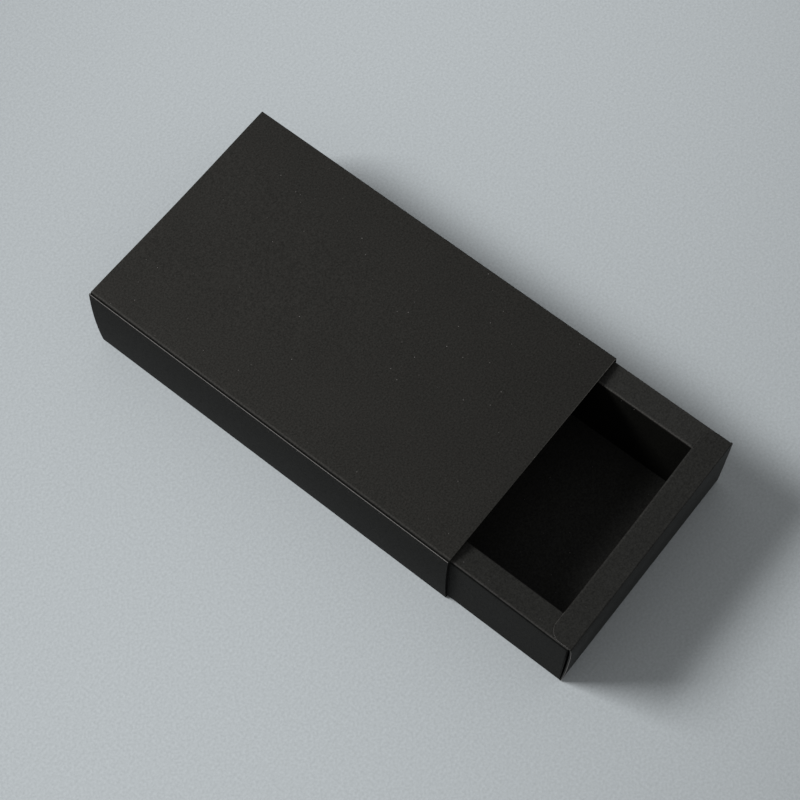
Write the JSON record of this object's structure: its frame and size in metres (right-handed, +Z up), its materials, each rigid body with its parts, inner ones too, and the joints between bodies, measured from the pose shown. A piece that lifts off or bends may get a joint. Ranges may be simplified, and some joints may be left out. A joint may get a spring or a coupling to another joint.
{
  "type": "sliding drawer gift box",
  "caption": "Flat card gift box: an open-ended folded sleeve with a hollow-walled folded tray that slides out as a drawer.",
  "frame": {"origin": "centre of the sleeve's underside, on the surface the box rests on", "axes": "+Z up; the sleeve runs along Y and the tray slides out of its mouth towards -Y; X is across"},
  "size_m": [0.1032, 0.2235, 0.04],
  "materials": {
    "sleeve_card": "matt black uncoated card",
    "tray_card": "matt black uncoated card"
  },
  "bodies": {
    "sleeve": {"sleeve_bottom_panel": "sleeve_card", "sleeve_glue_flap": "sleeve_card", "sleeve_left_side_panel": "sleeve_card", "sleeve_right_side_panel": "sleeve_card", "sleeve_top_panel": "sleeve_card"},
    "drawer": {"tray_floor": "tray_card", "tray_front_inner_wall": "tray_card", "tray_front_left_corner_tab": "tray_card", "tray_front_outer_wall": "tray_card", "tray_front_right_corner_tab": "tray_card", "tray_front_rim": "tray_card", "tray_front_tuck_flap": "tray_card", "tray_left_inner_wall": "tray_card", "tray_left_outer_wall": "tray_card", "tray_left_rim": "tray_card", "tray_left_tuck_flap": "tray_card", "tray_rear_inner_wall": "tray_card", "tray_rear_left_corner_tab": "tray_card", "tray_rear_outer_wall": "tray_card", "tray_rear_right_corner_tab": "tray_card", "tray_rear_rim": "tray_card", "tray_rear_tuck_flap": "tray_card", "tray_right_inner_wall": "tray_card", "tray_right_outer_wall": "tray_card", "tray_right_rim": "tray_card", "tray_right_tuck_flap": "tray_card"}
  },
  "joints": [
    {"name": "drawer_slide", "type": "slide", "parent": "sleeve", "child": "drawer", "axis": [0, -1, 0], "range_m": [-0.0528, 0.118]}
  ]
}
